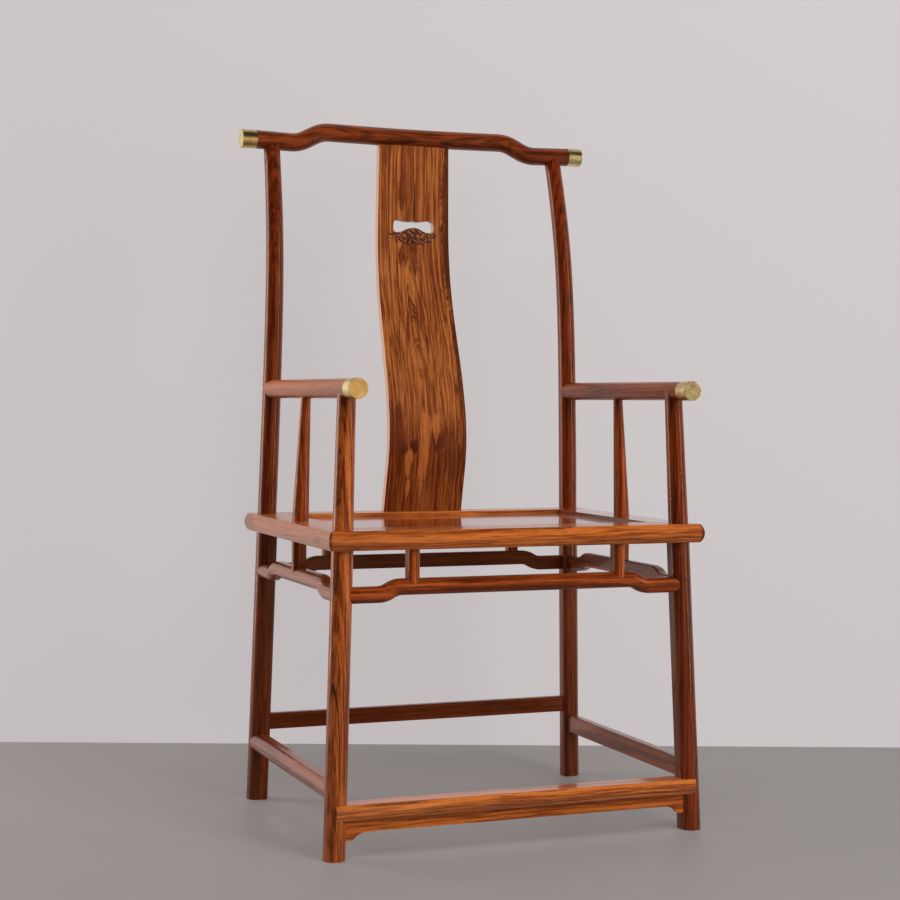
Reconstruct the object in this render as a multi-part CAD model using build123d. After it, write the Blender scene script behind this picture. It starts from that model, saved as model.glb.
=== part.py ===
"""Official's hat armchair: a solid rosewood frame chair with a yoke-shaped crest rail,
an S-curved splat, open arms, a mitred seat frame, humpback stretchers and brass end caps.

Millimetres, +Z up, the sitter faces -Y. The origin is the bottom centre of the bounding box.
Everything is first laid out about the middle of the four legs and shifted once on export.
"""

import math
import os

from build123d import *

# Seat frame
SEAT_TOP = 500.0
RAIL_THICK = 30.0
SEAT_UNDER = SEAT_TOP - RAIL_THICK
SEAT_HALF_X = 320.0
SEAT_HALF_Y = 246.0
RAIL_BULGE = 5.5
RAIL_ARRIS = 2.2
FRONT_RAIL_WIDE = 76.0
SIDE_RAIL_WIDE = 66.0
REAR_RAIL_WIDE = 62.0
MITRE_BEHIND_CORNER = 2.0
PANEL_DROP = 6.5
PANEL_THICK = 14.0
PANEL_TONGUE = 6.0
PANEL_TONGUE_DEEP = 8.0
PANEL_TONGUE_RISE = 2.0
PANEL_GAP = 0.4
GROOVE_GAP = 1.0
TENON_Z = 484.5
TENON_TALL = 8.0
TENON_WIDE = 26.0
TENON_MID_Y = 184.0
REAR_TENON_X = (257.0, 269.0)
REAR_TENON_LONG = 28.0
REAR_TENON_TALL = 10.0
BATTEN_X = 112.0
BATTEN_WIDE = 34.0
BATTEN_THICK = 13.0
BATTEN_CHAMFER = 2.0
DOVETAIL_TALL = 4.0
DOVETAIL_HALF_LOW = 10.0
DOVETAIL_HALF_HIGH = 14.0
BATTEN_TENON_LONG = 9.0
BATTEN_TENON_HALF = 8.0
BATTEN_TENON_TALL = 6.0
BATTEN_TENON_RISE = 6.0

# Legs: they splay outwards towards the floor in both directions, the front ones more
LEG_X = 288.0
LEG_Y = 214.0
FRONT_SPLAY = 0.035
REAR_SPLAY = 0.028
FOOT_R = 17.4
LEG_R_UNDER_SEAT = 17.0
LEG_INNER_ROUND = 8.0
POST_R_SEAT = 16.5
POST_R_ARM = 14.3
# Rear post above the seat: (height, distance behind the leg centre, radius)
REAR_POST = [
    (SEAT_UNDER, 214.9, 16.5),
    (560.0, 212.3, 16.3),
    (650.0, 209.8, 16.1),
    (720.0, 208.3, 15.95),
    (780.0, 207.8, 15.8),
    (840.0, 208.5, 15.6),
    (900.0, 210.9, 15.4),
    (950.0, 215.1, 15.2),
    (1000.0, 222.2, 15.0),
    (1050.0, 232.0, 14.7),
    (1100.0, 244.3, 14.4),
    (1154.0, 259.0, 14.2),
]

# Arms
ARM_X = 282.3
ARM_Z = 716.2
ARM_R_FRONT = 15.2
ARM_R_REAR = 15.8
ARM_FRONT = 269.0
ARM_CAP_LONG = 30.0
ARM_CAP_R = 15.8
SPINDLE_FOOT_X = 291.7
SPINDLE_R_SEAT = 13.7
SPINDLE_R_ARM = 7.5

# Crest rail: raised in the middle, stepping down to level ends
CREST_R = 16.1
CREST_MID_Y = 274.9
CREST_BOW = 17.0
CREST_BOW_END = 290.0
CREST_MID_Z = 1173.8
CREST_LOW_Z = 1151.6
CREST_END_LIFT = 0.025
CREST_BEND_HIGH = 177.0
CREST_BEND_LOW = 220.0
CREST_BEND_R = 60.0
CREST_HALF = 325.5
CREST_CAP_LONG = 26.5
CREST_CAP_R = 16.3
# Corners of the crest rail's route, one half: (distance from the middle, radius of the bend)
CREST_CORNERS = [
    (0.0, 900.0),
    (55.0, 900.0),
    (115.0, 900.0),
    (CREST_BEND_HIGH, CREST_BEND_R),
    (CREST_BEND_LOW, CREST_BEND_R),
    (248.0, 400.0),
]

# Brass caps
CAP_WALL = 1.5
CAP_RIM = 0.8
CAP_RING_RADII = (4.5, 8.0, 11.5)
CAP_RING_DEEP = 0.35

# Splat: (height, distance of the front face behind the leg centre)
SPLAT_THICK = 15.0
SPLAT_ARRIS = 1.5
SPLAT_FRONT = [
    (486.0, 213.9),
    (505.0, 209.5),
    (525.0, 204.8),
    (550.0, 198.3),
    (575.0, 191.7),
    (600.0, 186.7),
    (625.0, 184.2),
    (650.0, 184.5),
    (675.0, 187.5),
    (700.0, 192.6),
    (725.0, 198.8),
    (750.0, 206.3),
    (775.0, 214.7),
    (800.0, 223.6),
    (825.0, 232.5),
    (850.0, 241.1),
    (875.0, 248.7),
    (900.0, 255.1),
    (925.0, 260.1),
    (950.0, 263.8),
    (975.0, 266.3),
    (1000.0, 267.5),
    (1030.0, 267.7),
    (1070.0, 267.3),
    (1110.0, 266.9),
    (1166.0, 266.7),
]
# Splat outline: (height, half width)
SPLAT_HALF_WIDTHS = [
    (486.0, 74.2),
    (600.0, 73.7),
    (720.0, 72.2),
    (860.0, 70.1),
    (1000.0, 68.5),
    (1166.0, 67.1),
]
# Pierced opening, right half: (across, height)
OPENING_HALF = [
    (1.6, 1022.8),
    (7.5, 1022.2),
    (14.5, 1022.7),
    (24.0, 1024.0),
    (31.5, 1024.8),
    (36.6, 1022.8),
    (38.7, 1017.0),
    (38.9, 1009.0),
    (37.2, 1004.4),
    (32.5, 1002.9),
    (26.5, 1003.1),
    (20.0, 1004.9),
    (13.5, 1008.2),
    (7.5, 1010.6),
    (0.0, 1011.4),
]
OPENING_TIP_Z = 1028.0
# Leaves carved low along the opening's lower edge, the middle one first, then the right-hand
# ones, each with its twin on the left: (across, height, half length, half width, tilt in degrees)
MIDDLE_LEAF = (0.0, 1002.5, 8.0, 6.0, 0.0)
CARVED_LEAVES = [
    (11.0, 999.0, 8.5, 5.0, -30.0),
    (22.0, 994.0, 8.0, 4.5, -40.0),
    (32.5, 991.5, 7.0, 4.0, -62.0),
    (42.5, 993.5, 6.5, 3.5, -110.0),
    (6.5, 989.5, 7.5, 4.5, -60.0),
    (17.0, 987.5, 7.0, 4.0, -30.0),
]
LEAF_PROUD = 1.0
LEAF_ROOT = 3.0

# Humpback stretchers and their struts
HUMP_R = 12.6
HUMP_INNER = 10.0
HUMP_OUTSET = 2.3
HUMP_LOW_Z = 400.3
HUMP_HIGH_Z = 411.2
HUMP_WIDE_BENDS = (194.0, 232.0)
HUMP_DEEP_BENDS = (123.0, 162.0)
STRUT_R = 9.5
STRUT_FRONT_REACH = 12.2
STRUT_BACK = 9.5
STRUT_X = 176.0
STRUT_PIN_R = 4.0
STRUT_PIN_INTO_SEAT = 9.0

# Lower stretchers, stepped: front lowest, rear highest
SIDE_STRETCHER_Z = 100.2
SIDE_STRETCHER_R = 15.7
REAR_STRETCHER_Z = 136.2
REAR_STRETCHER_R = 13.9
STRETCHER_INNER = 11.2
STRETCHER_ARRIS = 2.0
FOOT_RAIL_TOP = 84.3
FOOT_RAIL_TALL = 24.2
FOOT_RAIL_FRONT = 249.5
FOOT_RAIL_BACK = 210.5
FOOT_RAIL_HALF = 307.0
FOOT_RAIL_BULGE = 4.0
APRON_FRONT = 238.5
APRON_THICK = 9.0
APRON_TALL = 19.0
APRON_SPANDREL = 9.0
APRON_SPANDREL_DROP = 12.0

# Joinery
TENON_PAST_AXIS = 4.0
TENON_ROOT = 20.0
STRETCHER_TENON_WIDE = 9.0
ROUND_TENON_R = 5.5
POST_PIN = (-20.0, 6.0)
CREST_PIN_START = (-11.0, -36.0)
CREST_PIN_END = (1.0, 4.0)
SPINDLE_FOOT_R = 6.5
SPINDLE_FOOT = (-14.0, 2.0)
SPINDLE_HEAD_R = 4.5
SPINDLE_HEAD = (-18.0, 4.0)
ARM_PIN_START = 170.0
# (height above the stretcher's axis, tenon height)
HUMP_WIDE_TENON = (3.0, 12.0)
HUMP_DEEP_TENON = (-7.5, 8.0)
HUMP_DEEP_TENON_SHORTER = 8.0
SIDE_TENON = (2.0, 16.0)
REAR_TENON = (0.0, 14.0)
FOOT_TENON = (0.0, 12.0)
# Overlap of tools and pieces that are joined or cut, so that no faces coincide
LAP = 0.5
MARGIN = 5.0

SIDES = {"left": -1, "right": 1}


def largest(shape):
    """The main body of a cut shape: slivers left by the cut are dropped."""
    solids = sorted(shape.solids(), key=lambda s: s.volume)
    return solids[-1]


def box_between(low, high):
    """A box from its lowest corner to its highest."""
    size = [b - a for a, b in zip(low, high)]
    mid = [(a + b) / 2 for a, b in zip(low, high)]
    return Pos(*mid) * Box(*size)


def rod_between(start, end, radius_start, radius_end):
    """A round bar, straight or tapered, from one point to another."""
    run = Vector(*end) - Vector(*start)
    along = run.normalized()
    guide = Vector(1, 0, 0) if abs(along.X) < 0.9 else Vector(0, 1, 0)
    first = Plane(origin=start, x_dir=guide.cross(along), z_dir=along)
    if radius_start == radius_end:
        return extrude(first * Circle(radius_start), amount=run.length)
    last = Plane(origin=end, x_dir=guide.cross(along), z_dir=along)
    return loft([(first * Circle(radius_start)).face(), (last * Circle(radius_end)).face()], ruled=True)


def upright_pin(x, y, low, high, radius):
    """A round tenon standing upright."""
    return Pos(x, y, low) * Cylinder(radius, high - low, align=(Align.CENTER, Align.CENTER, Align.MIN))


def leg_axis(sx, sy, z):
    """A point on a straight leg's axis. sx and sy are the signs of its corner."""
    splay = REAR_SPLAY if sy > 0 else FRONT_SPLAY
    spread = splay * (SEAT_TOP - z)
    return (sx * (LEG_X + spread), sy * (LEG_Y + spread), z)


# Legs


def leg_section(sx, sy, z, radius):
    """Round towards the outside, square towards the inside of the chair."""
    x, y, _ = leg_axis(sx, sy, z)
    square = Pos(-sx * radius / 2, -sy * radius / 2) * Rectangle(radius, radius)
    shape = Circle(radius) + square
    corner = Vector(-sx * radius, -sy * radius, 0)
    vertex = sorted(shape.vertices(), key=lambda v: (Vector(v.X, v.Y, v.Z) - corner).length)[0]
    shape = fillet(vertex, LEG_INNER_ROUND)
    return (Pos(x, y, z) * shape).face()


def lower_leg(sx, sy):
    """The leg from the floor to the underside of the seat frame."""
    foot = leg_section(sx, sy, 0, FOOT_R)
    shoulder = leg_section(sx, sy, SEAT_UNDER, LEG_R_UNDER_SEAT)
    return loft([foot, shoulder], ruled=True)


def front_post(sx):
    """The round upper part of a front leg, through the seat frame and up to the arm."""
    start = leg_axis(sx, -1, SEAT_UNDER)
    end = leg_axis(sx, -1, ARM_Z)
    lower = Pos(*start) * Circle(POST_R_SEAT)
    upper = Pos(*end) * Circle(POST_R_ARM)
    return loft([lower.face(), upper.face()], ruled=True)


def rear_post(sx):
    """The round upper part of a rear leg: straight past the arm, then curving back."""
    stations = []
    for z, y, radius in REAR_POST:
        x = sx * (LEG_X + REAR_SPLAY * (SEAT_TOP - z))
        stations.append((Vector(x, y, z), radius))
    sections = []
    for i, (point, radius) in enumerate(stations):
        before = stations[max(i - 1, 0)][0]
        after = stations[min(i + 1, len(stations) - 1)][0]
        along = (after - before).normalized()
        if i == 0:
            along = Vector(0, 0, 1)
        plane = Plane(origin=point, x_dir=(1, 0, 0), z_dir=along)
        sections.append((plane * Circle(radius)).face())
    return loft(sections)


# Crest rail


def crest_point(x):
    """A point on the crest rail's axis, before its bends are rounded."""
    across = abs(x)
    down = min(1.0, max(0.0, (across - CREST_BEND_HIGH) / (CREST_BEND_LOW - CREST_BEND_HIGH)))
    lift = CREST_END_LIFT * max(0.0, across - CREST_BEND_LOW)
    z = CREST_MID_Z + (CREST_LOW_Z - CREST_MID_Z) * down + lift
    turn = math.sin(math.pi / 2 * min(across / CREST_BOW_END, 1.0))
    y = CREST_MID_Y - CREST_BOW * turn * turn
    return (x, y, z)


def crest_body():
    """The bent round bar between the two brass caps, with reduced ends inside them."""
    cap_start = CREST_HALF - CREST_CAP_LONG
    past_cap = cap_start + 2 * LAP
    half = CREST_CORNERS[1:]
    corners = [(-x, radius) for x, radius in reversed(half)] + CREST_CORNERS
    stops = [-past_cap] + [x for x, _ in corners] + [past_cap]
    path = FilletPolyline(*[crest_point(x) for x in stops], radius=[radius for _, radius in corners])
    bar = sweep(Plane(origin=path @ 0, z_dir=path % 0) * Circle(CREST_R), path=path)
    # Sawn square where the caps begin
    bar = bar & box_between((-cap_start, 0, SEAT_TOP), (cap_start, 2 * CREST_MID_Y, 2 * CREST_MID_Z))
    inner_r = CREST_CAP_R - CAP_WALL
    for sx in (-1, 1):
        _, y, z = crest_point(cap_start)
        start = (sx * (cap_start - LAP), y, z)
        bar += rod_between(start, (sx * (CREST_HALF - CAP_WALL), y, z), inner_r, inner_r)
    return bar


def brass_cap(radius, length):
    """A spun cup lying along +Z: mouth at 0, closed end at length, with turned rings."""
    cup = Cylinder(radius, length, align=(Align.CENTER, Align.CENTER, Align.MIN))
    rim = cup.edges().filter_by(GeomType.CIRCLE).sort_by(Axis.Z)[-1]
    cup = fillet(rim, CAP_RIM)
    cup -= Cylinder(radius - CAP_WALL, length - CAP_WALL, align=(Align.CENTER, Align.CENTER, Align.MIN))
    for ring in CAP_RING_RADII:
        cup -= Pos(0, 0, length) * Torus(ring, CAP_RING_DEEP)
    cup -= Pos(0, 0, length) * Sphere(2 * CAP_RING_DEEP)
    return cup


# Back splat


def splat_board():
    """The S-curved board before piercing: its side profile cut to its front outline."""
    front = [(y, z) for z, y in SPLAT_FRONT]
    back = []
    for i, (y, z) in enumerate(front):
        y0, z0 = front[max(i - 1, 0)]
        y1, z1 = front[min(i + 1, len(front) - 1)]
        length = math.hypot(y1 - y0, z1 - z0)
        back.append((y + SPLAT_THICK * (z1 - z0) / length, z - SPLAT_THICK * (y1 - y0) / length))
    front_line = Spline(*[(0, y, z) for y, z in front])
    back_line = Spline(*[(0, y, z) for y, z in back])
    foot = Line(back_line @ 0, front_line @ 0)
    head = Line(front_line @ 1, back_line @ 1)
    side = make_face([front_line, head, back_line, foot])
    widest = SPLAT_HALF_WIDTHS[0][1] + MARGIN
    slab = extrude(side, amount=widest, dir=(1, 0, 0), both=True)
    right = [(w, z) for z, w in SPLAT_HALF_WIDTHS]
    left = [(-w, z) for w, z in reversed(right)]
    edge_right = Spline(*[(x, 0, z) for x, z in right])
    edge_left = Spline(*[(x, 0, z) for x, z in left])
    top = Line(edge_right @ 1, edge_left @ 0)
    bottom = Line(edge_left @ 1, edge_right @ 0)
    outline = make_face([edge_right, top, edge_left, bottom])
    window = extrude(outline, amount=SEAT_HALF_Y * 2, dir=(0, 1, 0))
    return slab & window


def splat_opening():
    """The pierced cloud-head opening, with a pointed tip at its top."""
    right = [(x, 0, z) for x, z in OPENING_HALF]
    left = [(-x, 0, z) for x, _, z in reversed(right[:-1])]
    loop = Spline(*(right + left))
    shoulder_x, shoulder_z = OPENING_HALF[0]
    point = Polyline((shoulder_x, 0, shoulder_z), (0, 0, OPENING_TIP_Z), (-shoulder_x, 0, shoulder_z))
    face = make_face([loop, point])
    return extrude(face, amount=SEAT_HALF_Y * 2, dir=(0, 1, 0))


def splat_front_at(height):
    """Distance of the splat's front face behind the leg centre at a height."""
    for (z0, y0), (z1, y1) in zip(SPLAT_FRONT, SPLAT_FRONT[1:]):
        if z0 <= height <= z1:
            return y0 + (y1 - y0) * (height - z0) / (z1 - z0)
    return SPLAT_FRONT[-1][1]


def carved_leaf(x, z, half_long, half_wide, tilt):
    """One low leaf-shaped swelling on the splat's front face."""
    sag = LEAF_PROUD
    radius = (half_wide * half_wide + sag * sag) / (2 * sag)
    reach = half_long - half_wide
    turn = Pos(x, splat_front_at(z) + radius - sag, z) * Rot(0, tilt, 0)
    bar = Cylinder(radius, 2 * reach)
    leaf = bar + Pos(0, 0, reach) * Sphere(radius) + Pos(0, 0, -reach) * Sphere(radius)
    keep = Pos(0, -radius + (sag + LEAF_ROOT) / 2, 0) * Box(4 * half_long, sag + LEAF_ROOT, 4 * half_long)
    return turn * (leaf & keep)


def back_splat():
    """The splat with its long arrises eased, its opening and the leaves carved below it."""
    board = splat_board()
    long_edges = [edge for edge in board.edges() if edge.length > SPLAT_HALF_WIDTHS[0][1] * 2]
    board = fillet(long_edges, SPLAT_ARRIS) - splat_opening()
    board += carved_leaf(*MIDDLE_LEAF)
    for x, z, half_long, half_wide, tilt in CARVED_LEAVES:
        board += carved_leaf(x, z, half_long, half_wide, tilt)
        board += carved_leaf(-x, z, half_long, half_wide, -tilt)
    return largest(board - splat_opening())


# Seat frame


def bulged_prism(half, depth):
    """A bar of the frame's thickness whose two ends along X are convex, deep along Y."""
    low = SEAT_UNDER
    high = SEAT_TOP
    mid = (low + high) / 2
    flat = half - RAIL_BULGE
    right = ThreePointArc((flat, 0, low), (half, 0, mid), (flat, 0, high))
    left = ThreePointArc((-flat, 0, high), (-half, 0, mid), (-flat, 0, low))
    top = Line((flat, 0, high), (-flat, 0, high))
    bottom = Line((-flat, 0, low), (flat, 0, low))
    face = make_face([right, top, left, bottom])
    prism = extrude(face, amount=depth, dir=(0, 1, 0), both=True)
    return fillet(prism.edges().filter_by(Axis.Y), RAIL_ARRIS)


def seat_block():
    """The whole seat frame's outside, with the convex edge running all round."""
    across = bulged_prism(SEAT_HALF_X, SEAT_HALF_X)
    deep = Rot(0, 0, 90) * bulged_prism(SEAT_HALF_Y, SEAT_HALF_X * 2)
    return across & deep


def seat_opening(grow, low, high):
    """The rectangle inside the frame, grown outwards by a distance, between two heights."""
    x = SEAT_HALF_X - SIDE_RAIL_WIDE + grow
    front = -SEAT_HALF_Y + FRONT_RAIL_WIDE - grow
    rear = SEAT_HALF_Y - REAR_RAIL_WIDE + grow
    return box_between((-x, front, low), (x, rear, high))


def front_region():
    """The plan area of the front rail: a trapezium whose mitres end just behind the corners."""
    outer_x = SEAT_HALF_X + MARGIN
    inner_x = SEAT_HALF_X - SIDE_RAIL_WIDE
    outer_y = -SEAT_HALF_Y - MARGIN * FRONT_RAIL_WIDE / SIDE_RAIL_WIDE + MITRE_BEHIND_CORNER
    inner_y = -SEAT_HALF_Y + FRONT_RAIL_WIDE
    corners = [(-outer_x, outer_y), (outer_x, outer_y), (inner_x, inner_y), (-inner_x, inner_y)]
    face = make_face(Polyline(*corners, close=True))
    return Pos(0, 0, SEAT_UNDER - 1) * extrude(face, amount=RAIL_THICK + 2)


def through_tenon(sx):
    """A front rail's tenon: it shows as a small rectangle on the side rail's outer face."""
    half = TENON_WIDE / 2
    near, far = sorted((sx * (SEAT_HALF_X - SIDE_RAIL_WIDE + 1), sx * (SEAT_HALF_X + MARGIN)))
    low = (near, -TENON_MID_Y - half, TENON_Z - TENON_TALL / 2)
    high = (far, -TENON_MID_Y + half, TENON_Z + TENON_TALL / 2)
    return box_between(low, high)


def rear_corner_tenon(sx):
    """A side rail's blind tenon into the rear rail, between the leg and the inner edge."""
    rear_face = SEAT_HALF_Y - REAR_RAIL_WIDE
    near, far = sorted((sx * REAR_TENON_X[0], sx * REAR_TENON_X[1]))
    low = (near, rear_face - 1, TENON_Z - REAR_TENON_TALL / 2)
    high = (far, rear_face + REAR_TENON_LONG, TENON_Z + REAR_TENON_TALL / 2)
    return box_between(low, high)


def seat_batten(x):
    """A dovetailed batten under the panel, tenoned into the front and rear rails."""
    top = SEAT_TOP - PANEL_DROP - PANEL_THICK
    front = -SEAT_HALF_Y + FRONT_RAIL_WIDE
    rear = SEAT_HALF_Y - REAR_RAIL_WIDE
    half = BATTEN_WIDE / 2
    bar = box_between((x - half, front, top - BATTEN_THICK), (x + half, rear, top))
    bar = chamfer(bar.edges().filter_by(Axis.Y).group_by(Axis.Z)[0], BATTEN_CHAMFER)
    low = [(x - DOVETAIL_HALF_LOW, front, top), (x + DOVETAIL_HALF_LOW, front, top)]
    high_z = top + DOVETAIL_TALL
    high = [(x + DOVETAIL_HALF_HIGH, front, high_z), (x - DOVETAIL_HALF_HIGH, front, high_z)]
    tail = extrude(make_face(Polyline(*low, *high, close=True)), amount=rear - front, dir=(0, 1, 0))
    tenon_z = top - BATTEN_THICK + BATTEN_TENON_RISE
    tenons = box_between(
        (x - BATTEN_TENON_HALF, front - BATTEN_TENON_LONG, tenon_z),
        (x + BATTEN_TENON_HALF, rear + BATTEN_TENON_LONG, tenon_z + BATTEN_TENON_TALL),
    )
    return bar + tail + tenons


def seat_panel():
    """The floating seat board, set below the frame's top, with a tongue on all sides."""
    top = SEAT_TOP - PANEL_DROP
    board = seat_opening(-PANEL_GAP, top - PANEL_THICK, top)
    tongue_low = top - PANEL_THICK + PANEL_TONGUE_RISE
    tongue = seat_opening(PANEL_TONGUE_DEEP, tongue_low, tongue_low + PANEL_TONGUE)
    return board + tongue


def panel_groove():
    """The groove in the rails that takes the panel's tongue."""
    low = SEAT_TOP - PANEL_DROP - PANEL_THICK + PANEL_TONGUE_RISE
    return seat_opening(PANEL_TONGUE_DEEP + GROOVE_GAP, low, low + PANEL_TONGUE)


# Stretchers and struts


def d_section(radius, inner, arris):
    """Half round on the +X side, square on the -X side; X across, Y up the bar's height."""
    shape = Circle(radius) + Pos(-inner / 2, 0) * Rectangle(inner, 2 * radius)
    shape -= Pos(-inner - radius, 0) * Rectangle(2 * radius, 4 * radius)
    corners = [v for v in shape.vertices() if v.X < -inner + 0.1]
    return fillet(corners, arris).face()


def straight_d_bar(start, end, outward, radius, inner):
    """A straight bar of D section from start to end; outward is the way its round faces."""
    along = (Vector(*end) - Vector(*start)).normalized()
    plane = Plane(origin=start, x_dir=outward, z_dir=along)
    face = plane * d_section(radius, inner, STRETCHER_ARRIS)
    length = (Vector(*end) - Vector(*start)).length
    return extrude(face, amount=length, dir=along)


def hump_bar(half, bends, outward, place):
    """A humpback bar along its own X, low at both ends, raised between the bends."""
    high_end, low_end = bends
    rise = HUMP_HIGH_Z - HUMP_LOW_Z
    run = low_end - high_end
    radius = (run * run + rise * rise) / (4 * rise)
    half_turn = math.atan2(rise, run)
    over = radius * math.sin(half_turn)
    down = radius * (1 - math.cos(half_turn))
    mid = ((high_end + low_end) / 2, 0, (HUMP_HIGH_Z + HUMP_LOW_Z) / 2)
    low = (low_end, 0, HUMP_LOW_Z)
    high = (high_end, 0, HUMP_HIGH_Z)
    low_bow = (low_end - over, 0, HUMP_LOW_Z + down)
    high_bow = (high_end + over, 0, HUMP_HIGH_Z - down)
    end = (half, 0, HUMP_LOW_Z)

    def other(point):
        return (-point[0], point[1], point[2])

    path = Wire(
        [
            Line(other(end), other(low)),
            ThreePointArc(other(low), other(low_bow), other(mid)),
            ThreePointArc(other(mid), other(high_bow), other(high)),
            Line(other(high), high),
            ThreePointArc(high, high_bow, mid),
            ThreePointArc(mid, low_bow, low),
            Line(low, end),
        ]
    )
    plane = Plane(origin=other(end), x_dir=(0, outward, 0), z_dir=(1, 0, 0))
    bar = sweep(plane * d_section(HUMP_R, HUMP_INNER, STRETCHER_ARRIS), path=path)
    return place * bar


def leg_offset(sy, z):
    """How far the front (sy -1) or rear (sy 1) leg axes are from the middle, in x and in y."""
    x, y, _ = leg_axis(1, sy, z)
    return x, abs(y)


def end_tenons(axis, half, cross, bar_z, tenon):
    """Tenons at both ends of a stretcher, ending just past the leg axes. axis is 'x' or 'y'."""
    rise, tall = tenon
    z = bar_z + rise
    tenons = []
    for s in (-1, 1):
        near, far = sorted((s * (half - TENON_ROOT), s * (half + TENON_PAST_AXIS)))
        w = STRETCHER_TENON_WIDE / 2
        if axis == "x":
            tenons.append(box_between((near, cross - w, z - tall / 2), (far, cross + w, z + tall / 2)))
        else:
            tenons.append(box_between((cross - w, near, z - tall / 2), (cross + w, far, z + tall / 2)))
    return tenons


def strut_blank(x, y, outward):
    """An upright strut up to the seat frame, round towards the outside; its foot is still uncut."""
    shape = Circle(STRUT_R) + Pos(-STRUT_R, 0) * Rectangle(2 * STRUT_R, 2 * STRUT_R)
    back = STRUT_BACK + STRUT_FRONT_REACH - STRUT_R
    shape -= Pos(-back - 2 * STRUT_R, 0) * Rectangle(4 * STRUT_R, 4 * STRUT_R)
    angle = {(0, -1): -90, (0, 1): 90, (-1, 0): 180, (1, 0): 0}[outward]
    reach = STRUT_FRONT_REACH - STRUT_R
    place = Pos(x + outward[0] * reach, y + outward[1] * reach, HUMP_LOW_Z) * Rot(0, 0, angle)
    return place * extrude(shape, amount=SEAT_UNDER - HUMP_LOW_Z)


def foot_rail_bar():
    """The front foot rail: flat on top, slightly convex in front, lapping the leg fronts."""
    low = FOOT_RAIL_TOP - FOOT_RAIL_TALL
    high = FOOT_RAIL_TOP
    flat = -FOOT_RAIL_FRONT + FOOT_RAIL_BULGE
    mid = (low + high) / 2
    arc = ThreePointArc((0, flat, high), (0, -FOOT_RAIL_FRONT, mid), (0, flat, low))
    under = Line((0, flat, low), (0, -FOOT_RAIL_BACK, low))
    back = Line((0, -FOOT_RAIL_BACK, low), (0, -FOOT_RAIL_BACK, high))
    top = Line((0, -FOOT_RAIL_BACK, high), (0, flat, high))
    face = make_face([arc, under, back, top])
    bar = extrude(face, amount=FOOT_RAIL_HALF, dir=(1, 0, 0), both=True)
    return fillet(bar.edges().filter_by(Axis.X), STRETCHER_ARRIS)


def foot_rail_apron():
    """The narrow apron under the foot rail, its lower corners rounded into the legs."""
    high = FOOT_RAIL_TOP - FOOT_RAIL_TALL
    low = high - APRON_TALL
    tip = low - APRON_SPANDREL_DROP
    half = leg_offset(-1, low)[0]
    mid = half - LEG_R_UNDER_SEAT - 2 * APRON_SPANDREL
    outer = mid + APRON_SPANDREL
    inner = mid - 2 * APRON_SPANDREL
    knee = low - APRON_SPANDREL_DROP / 3
    outline = [
        Line((-half, 0, high), (half, 0, high)),
        Line((half, 0, high), (half, 0, tip)),
        Line((half, 0, tip), (outer, 0, tip)),
        Spline((outer, 0, tip), (mid, 0, knee), (inner, 0, low)),
        Line((inner, 0, low), (-inner, 0, low)),
        Spline((-inner, 0, low), (-mid, 0, knee), (-outer, 0, tip)),
        Line((-outer, 0, tip), (-half, 0, tip)),
        Line((-half, 0, tip), (-half, 0, high)),
    ]
    board = extrude(make_face(outline), amount=APRON_THICK, dir=(0, 1, 0))
    return Pos(0, -APRON_FRONT, 0) * board


# Legs, arms, spindles and their pins

crest = crest_body()
splat = back_splat()
nodes = {"back_splat": splat}
arm_bars = {}
posts = {}
lower_legs = {}
leg_cuts = {}
crest_pins = []

for side, sx in SIDES.items():
    mouth = (sx * ARM_X, ARM_CAP_LONG - ARM_FRONT, ARM_Z)
    arm_bars[side] = rod_between(mouth, (sx * ARM_X, LEG_Y - MARGIN, ARM_Z), ARM_R_FRONT, ARM_R_REAR)
    posts[side, "front"] = front_post(sx)
    posts[side, "rear"] = rear_post(sx)
    lower_legs[side, "front"] = lower_leg(sx, -1)
    lower_legs[side, "rear"] = lower_leg(sx, 1)

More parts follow.
